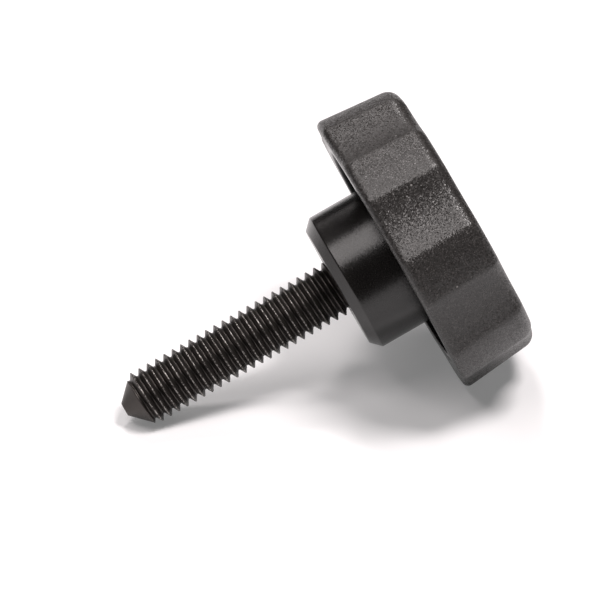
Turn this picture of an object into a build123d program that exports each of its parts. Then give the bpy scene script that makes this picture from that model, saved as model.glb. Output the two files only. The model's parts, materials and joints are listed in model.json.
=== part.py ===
from build123d import *
import math
import os

os.makedirs("parts", exist_ok=True)

# Every size is in millimetres and every angle in degrees. Heights run along the stud
# axis from the flat of the cone point (0) to the bare face of the knob.

# Stud, 3/8 inch across the crests of its thread, with 16 threads to the inch
stud_radius = 9.525 / 2
tip_radius = 1.17
thread_pitch = 25.4 / 16
thread_depth = 0.974
crest_width = 0.2

# The end of the stud that is moulded into the hub
collar_radius = 5.5
collar_length = 7.5
head_across_flats = 14.2875
head_height = 6.0
head_sides = 6

# Heights on the knob
hub_end = 40.6
rim_back = 50.7
face_height = 65.1

# Hub and hollow back
hub_radius = 12.25
hub_chamfer = 1.65
recess_radius = 19.9
recess_draft = 1.5
face_thickness = 4.4
recess_floor = face_height - face_thickness

# Lobed rim, whose flutes narrow with the rim towards the face
rim_radius = 25.4
rim_draft = 5.5
flute_count = 8
flute_depth = 1.4
flute_radius = 21.5
back_chamfer = 0.9
face_round = 2.5

# How far out the flutes are centred, and the cosine of half the angle each one spans
flute_centre = rim_radius - flute_depth + flute_radius
flute_cosine = (rim_radius**2 + flute_centre**2 - flute_radius**2) / (2 * rim_radius * flute_centre)
narrowing = math.tan(math.radians(rim_draft))
face_scale = 1 - (face_height - rim_back) * narrowing / rim_radius

# The knob lies on the edge behind its cone point and on the two ridges beside one flute
point_length = stud_radius - tip_radius
ridge_rest_height = rim_back + back_chamfer
ridge_rest_radius = (rim_radius - back_chamfer * narrowing) * flute_cosine
tilt = math.atan2(ridge_rest_radius - stud_radius, ridge_rest_height - point_length)
along_x = math.cos(tilt)
along_z = math.sin(tilt)

# The thread is cut as rings, from the cone point up to a short land under the hub
groove_width = thread_pitch - crest_width
groove_count = int((hub_end - point_length - crest_width) // thread_pitch)
thread_middle = point_length + (crest_width + groove_count * thread_pitch) / 2

# Where the flat of the point stands, so that the part is centred over the origin
point_height = stud_radius * along_x - point_length * along_z
left_side = -tip_radius * along_z
face_ridge_radius = (rim_radius * face_scale - face_round) * flute_cosine
right_side = (face_height - face_round) * along_x + face_ridge_radius * along_z + face_round
point_x = -(left_side + right_side) / 2

# The plane of the point's flat, with its X downwards and its Z along the stud, and
# the upright plane that holds the axis
axis_plane = Plane(origin=(point_x, 0, point_height), x_dir=(along_z, 0, -along_x), z_dir=(along_x, 0, along_z))
side_plane = Plane(origin=axis_plane.origin, x_dir=axis_plane.x_dir, z_dir=(0, -1, 0))
stud_axis = Axis(axis_plane.origin, axis_plane.z_dir)

# Stud: cone point, body with the rings of its thread, collar and six-sided head
with BuildPart() as threaded_stud:
    with BuildSketch(side_plane):
        with BuildLine():
            Polyline(
                (0, 0),
                (tip_radius, 0),
                (stud_radius, point_length),
                (stud_radius, hub_end),
                (0, hub_end),
                close=True,
            )
        make_face()
        with Locations((stud_radius, thread_middle)):
            with GridLocations(thread_pitch, thread_pitch, 1, groove_count):
                Polygon(
                    (-thread_depth, 0),
                    (0, groove_width / 2),
                    (0, -groove_width / 2),
                    align=None,
                    mode=Mode.SUBTRACT,
                )
    revolve(axis=stud_axis)
    with BuildSketch(axis_plane.offset(hub_end)):
        Circle(collar_radius)
    extrude(amount=collar_length)
    with BuildSketch(axis_plane.offset(hub_end + collar_length)):
        RegularPolygon(head_across_flats / 2, head_sides, major_radius=False)
    extrude(amount=head_height)

threaded_stud.part.label = "threaded_stud"
export_step(threaded_stud.part, "parts/threaded_stud.step")

# Knob: lobed rim and face, hub and hollow back in one moulding
with BuildPart() as knob:
    with BuildSketch(axis_plane.offset(rim_back)):
        Circle(rim_radius)
        with PolarLocations(flute_centre, flute_count):
            Circle(flute_radius, mode=Mode.SUBTRACT)
    with BuildSketch(axis_plane.offset(face_height)):
        Circle(rim_radius * face_scale)
        with PolarLocations(flute_centre * face_scale, flute_count):
            Circle(flute_radius * face_scale, mode=Mode.SUBTRACT)
    loft(ruled=True)
    fillet(knob.edges().group_by(stud_axis)[-1], radius=face_round)
    chamfer(knob.edges().group_by(stud_axis)[0], length=back_chamfer)
    # Hollow back
    with BuildSketch(axis_plane.offset(rim_back)):
        Circle(recess_radius)
    extrude(amount=recess_floor - rim_back, taper=recess_draft, mode=Mode.SUBTRACT)
    # Hub
    with BuildSketch(axis_plane.offset(hub_end)):
        Circle(hub_radius)
    extrude(amount=recess_floor - hub_end)
    chamfer(knob.edges().group_by(stud_axis)[0], length=hub_chamfer)
    # Room for the moulded-in end of the stud
    with BuildSketch(axis_plane.offset(hub_end)):
        Circle(collar_radius)
    extrude(amount=collar_length, mode=Mode.SUBTRACT)
    with BuildSketch(axis_plane.offset(hub_end + collar_length)):
        RegularPolygon(head_across_flats / 2, head_sides, major_radius=False)
    extrude(amount=head_height, mode=Mode.SUBTRACT)

knob.part.label = "knob"
export_step(knob.part, "parts/knob.step")
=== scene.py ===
import json
import math

import bmesh
import bpy
from mathutils import Matrix, Vector


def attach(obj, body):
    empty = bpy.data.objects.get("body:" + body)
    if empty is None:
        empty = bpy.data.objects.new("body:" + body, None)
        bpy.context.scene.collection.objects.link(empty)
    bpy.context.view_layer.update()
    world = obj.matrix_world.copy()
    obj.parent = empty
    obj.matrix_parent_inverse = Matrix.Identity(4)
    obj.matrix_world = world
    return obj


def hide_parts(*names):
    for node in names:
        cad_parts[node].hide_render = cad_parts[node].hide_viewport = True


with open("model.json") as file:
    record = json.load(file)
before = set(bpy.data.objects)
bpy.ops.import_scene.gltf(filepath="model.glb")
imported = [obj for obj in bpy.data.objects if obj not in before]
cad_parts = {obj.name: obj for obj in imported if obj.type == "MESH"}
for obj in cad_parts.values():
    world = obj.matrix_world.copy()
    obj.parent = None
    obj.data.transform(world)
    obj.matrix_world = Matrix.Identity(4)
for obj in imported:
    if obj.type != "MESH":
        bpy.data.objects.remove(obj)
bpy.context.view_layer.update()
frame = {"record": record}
mm = 0.001
print("scene: frame loaded")

# The stud's axis comes from the mount on it. Pieces are made upright on Z, with the
# flat of the cone point at the origin, and then laid down on that axis.
studMount = next(mount for mount in frame["record"]["mounts"] if mount["name"] == "stud")
mountHeight = 22.7425 * mm      # from the flat of the point up to that mount
studAxis = -Vector(studMount["axis"]).normalized()
pointCentre = Vector(studMount["pos_m"]) - studAxis * mountHeight
downAxis = Vector((studAxis.z, 0, -studAxis.x))
sideAxis = studAxis.cross(downAxis)
layDown = Matrix((
    (downAxis.x, sideAxis.x, studAxis.x, pointCentre.x),
    (downAxis.y, sideAxis.y, studAxis.y, pointCentre.y),
    (downAxis.z, sideAxis.z, studAxis.z, pointCentre.z),
    (0, 0, 0, 1),
))


def makeProfile(corners, support):
    # corners are (radius, height, rounding, steps) in mm; a rounding gets an arc and a
    # support point on each side, so that flat faces stay flat under smooth shading
    points = []
    for index, (radius, height, rounding, steps) in enumerate(corners):
        here = Vector((radius, height))
        if rounding == 0:
            points.append(here)
            continue
        before = (Vector(corners[index - 1][:2]) - here).normalized()
        after = (Vector(corners[index + 1][:2]) - here).normalized()
        half = before.angle(after) / 2
        reach = rounding / math.tan(half)
        centre = here + (before + after).normalized() * (rounding / math.sin(half))
        first = here + before * reach - centre
        last = here + after * reach - centre
        points.append(here + before * (reach + support))
        for step in range(steps + 1):
            points.append(centre + first.slerp(last, step / steps) * rounding)
        points.append(here + after * (reach + support))
    return points


def drawSection(bm, points):
    verts = [bm.verts.new((point.x * mm, 0, point.y * mm)) for point in points]
    edges = [bm.edges.new(pair) for pair in zip(verts, verts[1:])]
    return verts + edges


def finishPiece(bm, name, node, material):
    bmesh.ops.transform(bm, matrix=layDown, verts=bm.verts)
    mesh = bpy.data.meshes.new(name)
    bm.to_mesh(mesh)
    bm.free()
    mesh.polygons.foreach_set("use_smooth", [True] * len(mesh.polygons))
    mesh.materials.append(material)
    piece = bpy.data.objects.new(name, mesh)
    bpy.context.scene.collection.objects.link(piece)
    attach(piece, "root")
    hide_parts(node)
    print("scene:", name, len(mesh.polygons), "faces")


# Node helpers
def newMaterial(name):
    material = bpy.data.materials.new(name)
    material.use_nodes = True
    return material, material.node_tree, material.node_tree.nodes["Principled BSDF"]


def addNode(tree, kind, **settings):
    # a setting is a property of the node, or else the plain value of an input
    node = tree.nodes.new(kind)
    for key, value in settings.items():
        if hasattr(node, key):
            setattr(node, key, value)
        else:
            node.inputs[key].default_value = value
    return node


def feed(tree, source, socket):
    # source is the output of another node or a plain value
    if isinstance(source, bpy.types.NodeSocket):
        tree.links.new(source, socket)
    else:
        socket.default_value = source


def calculate(tree, operation, first, second, kind="ShaderNodeMath"):
    node = addNode(tree, kind, operation=operation)
    feed(tree, first, node.inputs[0])
    feed(tree, second, node.inputs[1])
    return node.outputs[0]


def blend(tree, share, first, second, kind="RGBA"):
    node = addNode(tree, "ShaderNodeMix", data_type=kind)
    feed(tree, share, node.inputs["Factor"])
    feed(tree, first, node.inputs["A"])
    feed(tree, second, node.inputs["B"])
    return node.outputs["Result"]


def remap(tree, value, fromLow=0.0, fromHigh=1.0, toLow=0.0, toHigh=1.0):
    ends = {"From Min": fromLow, "From Max": fromHigh, "To Min": toLow, "To Max": toHigh}
    node = addNode(tree, "ShaderNodeMapRange", **ends)
    feed(tree, value, node.inputs["Value"])
    return node.outputs["Result"]


def noise(tree, place, scale, detail, roughness=0.5):
    node = addNode(tree, "ShaderNodeTexNoise", Scale=scale, Detail=detail, Roughness=roughness)
    feed(tree, place, node.inputs["Vector"])
    return node.outputs["Fac"]


def cells(tree, place, scale, output):
    node = addNode(tree, "ShaderNodeTexVoronoi", Scale=scale)
    feed(tree, place, node.inputs["Vector"])
    return node.outputs[output]


# The moulded plastic. Its attribute grainShare is 1 on the spark-eroded skin.
plasticLook = {
    "smoothColour": (0.0100, 0.0090, 0.0084, 1),
    "colour": (0.0150, 0.0138, 0.0130, 1),
    "duller": (0.0230, 0.0211, 0.0201, 1),
    "slowScale": 170,
    "grainScale": 2900,        # soft bumps about 0.35 mm apart
    "grainHeight": 0.008 * mm,
    "sparkScale": 6400,        # single flats of the skin, about 0.15 mm
    "sparkTilt": 0.38,
    "smoothRough": 0.22,
    "grainRoughLow": 0.26,
    "grainRoughHigh": 0.48,
    # pale flats painted in as glints of the sparkling skin
    "paintedGlintColour": (0.066, 0.061, 0.059, 1),
    "paintedGlintFrom": 0.70,         # this share of the flats gets no painted glint
    "dustColour": (0.22, 0.21, 0.205, 1),
    "dustScale": 230,          # specks of dust, several millimetres apart
    "dustReach": 0.050,
}


def grainNormal(tree, place, share, flats):
    # soft bumps, broken into tiny flats that each tilt their own way
    look = plasticLook
    bumps = noise(tree, place, look["grainScale"], detail=1.0)
    bump = addNode(tree, "ShaderNodeBump", Strength=1.0, Distance=look["grainHeight"])
    feed(tree, calculate(tree, "MULTIPLY", bumps, share), bump.inputs["Height"])
    centred = calculate(tree, "SUBTRACT", flats, (0.5, 0.5, 0.5), "ShaderNodeVectorMath")
    lean = addNode(tree, "ShaderNodeVectorMath", operation="SCALE")
    feed(tree, centred, lean.inputs["Vector"])
    feed(tree, calculate(tree, "MULTIPLY", share, look["sparkTilt"]), lean.inputs["Scale"])
    tilted = calculate(tree, "ADD", bump.outputs["Normal"], lean.outputs["Vector"], "ShaderNodeVectorMath")
    normal = addNode(tree, "ShaderNodeVectorMath", operation="NORMALIZE")
    feed(tree, tilted, normal.inputs[0])
    return normal.outputs["Vector"]


def plasticColour(tree, place, share, glintPick):
    # slow unevenness of the moulding, a few flats painted pale as glints of the sparkling skin, and stray
    # specks of dust
    look = plasticLook
    slow = noise(tree, place, look["slowScale"], detail=3.0)
    tone = blend(tree, slow, look["colour"], look["duller"])
    base = blend(tree, share, look["smoothColour"], tone)
    # painted glints: a random share of the tiny flats is painted pale, standing in for sparkle
    paintedGlints = remap(tree, glintPick, fromLow=look["paintedGlintFrom"])
    skin = blend(tree, calculate(tree, "MULTIPLY", paintedGlints, share), base, look["paintedGlintColour"])
    fromSpeck = cells(tree, place, look["dustScale"], "Distance")
    speck = calculate(tree, "LESS_THAN", fromSpeck, look["dustReach"])
    return blend(tree, speck, skin, look["dustColour"])


def mouldedPlastic():
    look = plasticLook
    material, tree, shader = newMaterial("blackMouldedPlastic")
    place = addNode(tree, "ShaderNodeTexCoord").outputs["Object"]
    share = addNode(tree, "ShaderNodeAttribute", attribute_name="grainShare").outputs["Fac"]
    flats = cells(tree, place, look["sparkScale"], "Color")
    pick = addNode(tree, "ShaderNodeSeparateXYZ")
    feed(tree, flats, pick.inputs["Vector"])
    feed(tree, grainNormal(tree, place, share, flats), shader.inputs["Normal"])

    # Some flats are polished, others stay dull
    flatRough = remap(tree, pick.outputs["X"], toLow=look["grainRoughLow"], toHigh=look["grainRoughHigh"])
    rough = blend(tree, share, look["smoothRough"], flatRough, kind="FLOAT")
    feed(tree, rough, shader.inputs["Roughness"])
    feed(tree, plasticColour(tree, place, share, pick.outputs["Y"]), shader.inputs["Base Color"])
    return material


# The oiled black steel. Its attribute crestShare is 1 on the rubbed crests of the thread.
steelLook = {
    "dark": (0.056, 0.050, 0.0465, 1),
    "worn": (0.30, 0.285, 0.27, 1),
    "speckScale": 3000,
    "speckFrom": 0.46,
    "speckFull": 0.60,
    "smudgeScale": 420,
    "roughLow": 0.30,
    "roughHigh": 0.52,
    "metal": 0.85,
    "scratchScale": 5200,
    "scratchHeight": 0.012 * mm,
}


def oiledSteel():
    look = steelLook
    material, tree, shader = newMaterial("oiledBlackSteel")
    place = addNode(tree, "ShaderNodeTexCoord").outputs["Object"]
    crest = addNode(tree, "ShaderNodeAttribute", attribute_name="crestShare").outputs["Fac"]

    # Crests are rubbed bright in small specks
    specks = noise(tree, place, look["speckScale"], detail=1.0)
    patchy = remap(tree, specks, fromLow=look["speckFrom"], fromHigh=look["speckFull"])
    wear = calculate(tree, "MULTIPLY", patchy, crest)
    feed(tree, blend(tree, wear, look["dark"], look["worn"]), shader.inputs["Base Color"])

    smudge = noise(tree, place, look["smudgeScale"], detail=4.0, roughness=0.6)
    rough = remap(tree, smudge, toLow=look["roughLow"], toHigh=look["roughHigh"])
    feed(tree, rough, shader.inputs["Roughness"])
    shader.inputs["Metallic"].default_value = look["metal"]

    bump = addNode(tree, "ShaderNodeBump", Strength=1.0, Distance=look["scratchHeight"])
    feed(tree, noise(tree, place, look["scratchScale"], detail=2.0), bump.inputs["Height"])
    feed(tree, bump.outputs["Normal"], shader.inputs["Normal"])
    return material


# Knob: a lathe section spun round the axis, then pulled in at the flutes. Sizes in mm.
knob = {
    "faceHeight": 65.1,
    "rimBack": 50.7,
    "rimRadius": 25.4,
    "rimDraft": 5.5,
    "faceRound": 2.5,
    "backRound": 1.1,
    "flutes": 8,
    "fluteDepth": 1.4,
    "fluteRadius": 21.5,
    "ridgeSoftness": 0.12,
    "recessRadius": 19.9,
    "recessFloorRadius": 19.64,
    "recessFloor": 60.7,
    "recessEdgeRound": 0.4,
    "recessFloorRound": 1.0,
    "hubRadius": 12.25,
    "hubEnd": 40.6,
    "hubChamfer": 1.65,
    "hubFootRound": 1.2,
    "hubEdgeRound": 0.35,
    "boreEdgeRound": 0.08,
    "collarRadius": 5.5,
    "collarEnd": 48.1,
    "headRadius": 8.25,
    "headEnd": 54.1,
    "fluteColumns": 18,
    "lobeColumns": 14,
    "crowding": 1.5,           # how strongly columns crowd together towards the ridges
    "support": 0.25,
    "weldReach": 0.002,
    "axisReach": 0.001,
    "fluteMargin": 0.9,        # the flutes take hold this far outside the hollow
    "faceMargin": 1,           # the face starts this far above the floor of the hollow
    "hubGrain": 0.12,
}
knob["narrowing"] = math.tan(math.radians(knob["rimDraft"]))
knob["faceRadius"] = knob["rimRadius"] - (knob["faceHeight"] - knob["rimBack"]) * knob["narrowing"]
knob["fluteCentre"] = knob["rimRadius"] - knob["fluteDepth"] + knob["fluteRadius"]
knob["halfFlute"] = math.acos(
    (knob["rimRadius"] ** 2 + knob["fluteCentre"] ** 2 - knob["fluteRadius"] ** 2)
    / (2 * knob["rimRadius"] * knob["fluteCentre"])
)
knob["halfPeriod"] = math.pi / knob["flutes"]


def columnAngle(index):
    # a period runs from the middle of one flute to the middle of the next
    half = knob["fluteColumns"] + knob["lobeColumns"]
    period, place = divmod(index, 2 * half)
    mirrored = place > half
    column = 2 * half - place if mirrored else place
    if column <= knob["fluteColumns"]:
        share = 1 - column / knob["fluteColumns"]
        angle = knob["halfFlute"] * (1 - share ** knob["crowding"])
    else:
        share = (column - knob["fluteColumns"]) / knob["lobeColumns"]
        angle = knob["halfFlute"] + (knob["halfPeriod"] - knob["halfFlute"]) * share ** knob["crowding"]
    if mirrored:
        return 2 * knob["halfPeriod"] * (period + 1) - angle
    return 2 * knob["halfPeriod"] * period + angle


def fluteCut(angle):
    # how far the outline lies inside the outer circle; it sets in softly, which rounds the ridges
    turn = (angle + knob["halfPeriod"]) % (2 * knob["halfPeriod"]) - knob["halfPeriod"]
    across = knob["fluteCentre"] * math.sin(turn)
    reach = knob["fluteCentre"] * math.cos(turn) - math.sqrt(knob["fluteRadius"] ** 2 - across ** 2)
    depth = knob["rimRadius"] - reach
    soft = knob["ridgeSoftness"]
    return soft * math.log1p(math.exp(depth / soft))


def knobSection():
    size = knob
    return makeProfile([
        (0, size["faceHeight"], 0, 0),
        (size["hubRadius"], size["faceHeight"], 0, 0),
        (size["faceRadius"], size["faceHeight"], size["faceRound"], 10),
        (size["rimRadius"], size["rimBack"], size["backRound"], 6),
        (size["recessRadius"], size["rimBack"], size["recessEdgeRound"], 4),
        (size["recessFloorRadius"], size["recessFloor"], size["recessFloorRound"], 5),
        (size["hubRadius"], size["recessFloor"], size["hubFootRound"], 5),
        (size["hubRadius"], size["hubEnd"] + size["hubChamfer"], size["hubEdgeRound"], 4),
        (size["hubRadius"] - size["hubChamfer"], size["hubEnd"], size["hubEdgeRound"], 4),
        (size["collarRadius"], size["hubEnd"], size["boreEdgeRound"], 2),
        (size["collarRadius"], size["collarEnd"], 0, 0),
        (size["headRadius"], size["collarEnd"], 0, 0),
        (size["headRadius"], size["headEnd"], 0, 0),
        (0, size["headEnd"], 0, 0),
    ], size["support"])


def buildKnob(material):
    size = knob
    columns = 2 * size["flutes"] * (size["fluteColumns"] + size["lobeColumns"])
    bm = bmesh.new()
    bmesh.ops.spin(
        bm, geom=drawSection(bm, knobSection()), cent=(0, 0, 0), axis=(0, 0, 1), dvec=(0, 0, 0),
        angle=2 * math.pi, steps=columns, use_merge=True, use_duplicate=False,
    )
    bmesh.ops.remove_doubles(bm, verts=bm.verts, dist=size["weldReach"] * mm)
    bmesh.ops.recalc_face_normals(bm, faces=bm.faces)
    grain = bm.verts.layers.float.new("grainShare")
    rimInner = (size["recessRadius"] + size["fluteMargin"]) * mm
    for vert in bm.verts:
        radius = math.hypot(vert.co.x, vert.co.y)
        if radius < size["axisReach"] * mm:
            vert[grain] = 1
            continue
        index = round(math.atan2(vert.co.y, vert.co.x) / (2 * math.pi) * columns) % columns
        angle = columnAngle(index)
        height = vert.co.z / mm
        onRim = radius > rimInner
        onFace = height > size["recessFloor"] + size["faceMargin"]
        if onRim:
            narrowed = 1 - (height - size["rimBack"]) * size["narrowing"] / size["rimRadius"]
            radius -= fluteCut(angle) * narrowed * mm
        vert[grain] = 1 if onRim or onFace else size["hubGrain"]
        vert.co.x = radius * math.cos(angle)
        vert.co.y = radius * math.sin(angle)
    finishPiece(bm, "knobBody", "knob", material)


# Threaded stud: one turn of thread, repeated along the axis. Sizes in mm.
stud = {
    "radius": 9.525 / 2,
    "pitch": 25.4 / 16,
    "pointRadius": 1.17,
    "hubEnd": 40.6,
    "crestFlat": 0.115,        # share of the pitch
    "crestHold": 0.75,         # share of half the crest that has the full height
    "crestEdge": 1.02,         # the same, where the crest has dropped by crestDrop
    "crestDrop": 0.012,
    "flankDrop": 0.045,        # how far below the crest the straight flank starts
    "flankAngle": 60,          # degrees between a flank and the axis
    "flankSteps": 4,
    "rootRound": 0.1444,       # share of the pitch
    "rootSteps": 3,
    "stepsPerTurn": 72,
    "spareTurns": 2,           # turns beyond each end, cut off again
    "weldReach": 0.004,
    "cutReach": 0.001,
    "paleCrestsTo": 39,            # the crests are pale up to this height, less and less over this length, darker towards the hub, down to this far below the crest, and more and more over this height
    "paleCrestsFade": 9,           # less and less over this length,
    "rubbedDepth": 0.06,       # down to this far below the crest,
    "rubbedBand": 0.055,       # and more and more over this height
    "collarRadius": 5.5,
    "collarEnd": 48.1,
    "collarSides": 96,
    "headAcrossFlats": 14.2875,
    "headEnd": 54.1,
    "headSides": 6,
}


def threadSection():
    # half of one pitch from the middle of a crest to the middle of a root, then mirrored
    size = stud
    pitch = size["pitch"]
    flankAngle = math.radians(size["flankAngle"])
    slope = math.tan(flankAngle)
    crestHalf = size["crestFlat"] / 2 * pitch
    rootRound = size["rootRound"] * pitch
    apexRadius = size["radius"] - (pitch / 2 - crestHalf) * slope
    centre = Vector((apexRadius + rootRound / math.cos(flankAngle), pitch / 2))
    half = [
        Vector((size["radius"], 0)),
        Vector((size["radius"], crestHalf * size["crestHold"])),
        Vector((size["radius"] - size["crestDrop"], crestHalf * size["crestEdge"])),
    ]
    flankStart = Vector((size["radius"] - size["flankDrop"], crestHalf + size["flankDrop"] / slope))
    flankEnd = centre - rootRound * Vector((math.cos(flankAngle), math.sin(flankAngle)))
    for step in range(size["flankSteps"] + 1):
        half.append(flankStart.lerp(flankEnd, step / size["flankSteps"]))
    for step in range(1, size["rootSteps"] + 1):
        turn = flankAngle * (1 - step / size["rootSteps"])
        half.append(centre - rootRound * Vector((math.cos(turn), math.sin(turn))))
    return half + [Vector((point.x, pitch - point.y)) for point in reversed(half[:-1])]


def windThread(bm):
    # one turn is spun, copied up the stud and cut off square at both ends
    size = stud
    pitch = size["pitch"] * mm
    bmesh.ops.spin(
        bm, geom=drawSection(bm, threadSection()), cent=(0, 0, 0), axis=(0, 0, 1),
        dvec=(0, 0, pitch / size["stepsPerTurn"]), angle=2 * math.pi, steps=size["stepsPerTurn"],
        use_merge=False, use_duplicate=False,
    )
    bmesh.ops.translate(bm, vec=(0, 0, -size["spareTurns"] * pitch), verts=bm.verts)
    oneTurn = bm.verts[:] + bm.edges[:] + bm.faces[:]
    turns = math.ceil(size["hubEnd"] / size["pitch"]) + size["spareTurns"]
    for turn in range(1, turns + 1):
        copied = bmesh.ops.duplicate(bm, geom=oneTurn)["geom"]
        moved = [element for element in copied if isinstance(element, bmesh.types.BMVert)]
        bmesh.ops.translate(bm, vec=(0, 0, turn * pitch), verts=moved)
    bmesh.ops.remove_doubles(bm, verts=bm.verts, dist=size["weldReach"] * mm)
    for height, outwards in ((0, -1), (size["hubEnd"] * mm, 1)):
        everything = bm.verts[:] + bm.edges[:] + bm.faces[:]
        bmesh.ops.bisect_plane(
            bm, geom=everything, dist=size["cutReach"] * mm,
            plane_co=(0, 0, height), plane_no=(0, 0, outwards), clear_outer=True,
        )


def buildStud(material):
    size = stud
    bm = bmesh.new()
    windThread(bm)
    # The cone point turns the thread down
    for vert in bm.verts:
        radius = math.hypot(vert.co.x, vert.co.y)
        limit = size["pointRadius"] * mm + vert.co.z
        if radius > limit:
            vert.co.x *= limit / radius
            vert.co.y *= limit / radius
    openEdges = [edge for edge in bm.edges if edge.is_boundary]
    bmesh.ops.holes_fill(bm, edges=openEdges, sides=0)
    bmesh.ops.recalc_face_normals(bm, faces=bm.faces)
    crest = bm.verts.layers.float.new("crestShare")
    for vert in bm.verts:
        radius = math.hypot(vert.co.x, vert.co.y) / mm
        # the pale crests fade out towards the hub, so the thread is darker there
        along = (size["paleCrestsTo"] - vert.co.z / mm) / size["paleCrestsFade"]
        above = (radius - size["radius"] + size["rubbedDepth"]) / size["rubbedBand"]
        vert[crest] = max(0, min(1, along)) * max(0, min(1, above))

    # Collar and head inside the hub
    headRadius = size["headAcrossFlats"] / 2 / math.cos(math.pi / size["headSides"])
    for radius, sides, low, high in (
        (size["collarRadius"], size["collarSides"], size["hubEnd"], size["collarEnd"]),
        (headRadius, size["headSides"], size["collarEnd"], size["headEnd"]),
    ):
        bmesh.ops.create_cone(
            bm, cap_ends=True, segments=sides, radius1=radius * mm, radius2=radius * mm,
            depth=(high - low) * mm, matrix=Matrix.Translation((0, 0, (low + high) / 2 * mm)),
        )
    finishPiece(bm, "studBody", "threaded_stud", material)


plastic = mouldedPlastic()
steel = oiledSteel()
print("scene: materials made")
buildKnob(plastic)
buildStud(steel)

# Floor, lamps and world; lengths in metres
studio = {
    "floorHalf": 3.0,
    "floorColour": (0.75, 0.75, 0.76, 1),
    "floorRough": 0.9,
    "floorShine": 0.1,
    "floorGlow": 0.19,
    "worldTone": (0.020, 0.020, 0.021, 1),
    "lampTone": (1.0, 0.945, 0.935),
    "aim": Vector((0.005, 0, 0.02)),
    "reach": 0.65,             # from there to each lamp
}
# name, degrees round from +X, degrees up, width, depth, watts
lamps = (
    ("softbox", 201.5, 66, 0.44, 0.24, 1.55),
    ("keyPanel", 316, 71, 0.18, 0.18, 3.9),
    ("backPanel", 85, 38, 0.30, 0.30, 0.6),
    ("highPanel", 88, 63, 0.12, 0.12, 1.3),
)


def paleFloor():
    material, tree, shader = newMaterial("paleFloor")
    shader.inputs["Base Color"].default_value = studio["floorColour"]
    shader.inputs["Roughness"].default_value = studio["floorRough"]
    shader.inputs["Specular IOR Level"].default_value = studio["floorShine"]
    # It glows a little to the camera and in reflections, and lights nothing that way
    path = addNode(tree, "ShaderNodeLightPath")
    seen = calculate(tree, "MAXIMUM", path.outputs["Is Camera Ray"], path.outputs["Is Glossy Ray"])
    seenThrough = calculate(tree, "MAXIMUM", seen, path.outputs["Is Transmission Ray"])
    glow = calculate(tree, "MULTIPLY", seenThrough, studio["floorGlow"])
    shader.inputs["Emission Color"].default_value = (1, 1, 1, 1)
    feed(tree, glow, shader.inputs["Emission Strength"])
    return material


def layFloor():
    bm = bmesh.new()
    bmesh.ops.create_grid(bm, x_segments=2, y_segments=2, size=studio["floorHalf"])
    mesh = bpy.data.meshes.new("floor")
    bm.to_mesh(mesh)
    bm.free()
    mesh.materials.append(paleFloor())
    floor = bpy.data.objects.new("floor", mesh)
    bpy.context.scene.collection.objects.link(floor)


def hangLamps():
    for name, around, up, width, depth, power in lamps:
        lamp = bpy.data.lights.new(name, "AREA")
        lamp.shape = "RECTANGLE"
        lamp.size = width
        lamp.size_y = depth
        lamp.energy = power
        lamp.color = studio["lampTone"]
        panel = bpy.data.objects.new(name, lamp)
        level = math.cos(math.radians(up))
        toward = Vector((
            level * math.cos(math.radians(around)),
            level * math.sin(math.radians(around)),
            math.sin(math.radians(up)),
        ))
        panel.location = studio["aim"] + toward * studio["reach"]
        panel.rotation_euler = (-toward).to_track_quat("-Z", "Y").to_euler()
        bpy.context.scene.collection.objects.link(panel)


def fillWorld():
    world = bpy.data.worlds.new("studioWorld")
    world.use_nodes = True
    world.node_tree.nodes["Background"].inputs["Color"].default_value = studio["worldTone"]
    bpy.context.scene.world = world


# The camera was fitted to the photograph; it aims at a place beside the cone point and above it
view = {
    "elevation": math.radians(33.1309),
    "turn": math.radians(16.1692),
    "roll": math.radians(2.4228),
    "focalPixels": 4651.5,
    "frameSize": 600,
    "sensor": 36,
    "distance": 0.758397,
    "aimAlong": 0.0297287,
    "aimHeight": 0.0201372,
}


def placeCamera():
    rise, turn, roll = view["elevation"], view["turn"], view["roll"]
    forward = Vector((math.sin(turn) * math.cos(rise), math.cos(turn) * math.cos(rise), -math.sin(rise)))
    level = Vector((math.cos(turn), -math.sin(turn), 0))
    upright = level.cross(forward)
    up = upright * math.cos(roll) + level * math.sin(roll)
    right = level * math.cos(roll) - upright * math.sin(roll)
    aim = pointCentre + level * view["aimAlong"] + Vector((0, 0, view["aimHeight"]))
    place = aim - forward * view["distance"]
    camera = bpy.data.cameras.new("camera")
    camera.sensor_width = view["sensor"]
    camera.lens = view["sensor"] * view["focalPixels"] / view["frameSize"]
    holder = bpy.data.objects.new("camera", camera)
    holder.matrix_world = Matrix((
        (right.x, up.x, -forward.x, place.x),
        (right.y, up.y, -forward.y, place.y),
        (right.z, up.z, -forward.z, place.z),
        (0, 0, 0, 1),
    ))
    bpy.context.scene.collection.objects.link(holder)
    bpy.context.scene.camera = holder


layFloor()
hangLamps()
fillWorld()
placeCamera()
bpy.context.scene.view_settings.view_transform = "Standard"
print("scene: studio and camera ready")
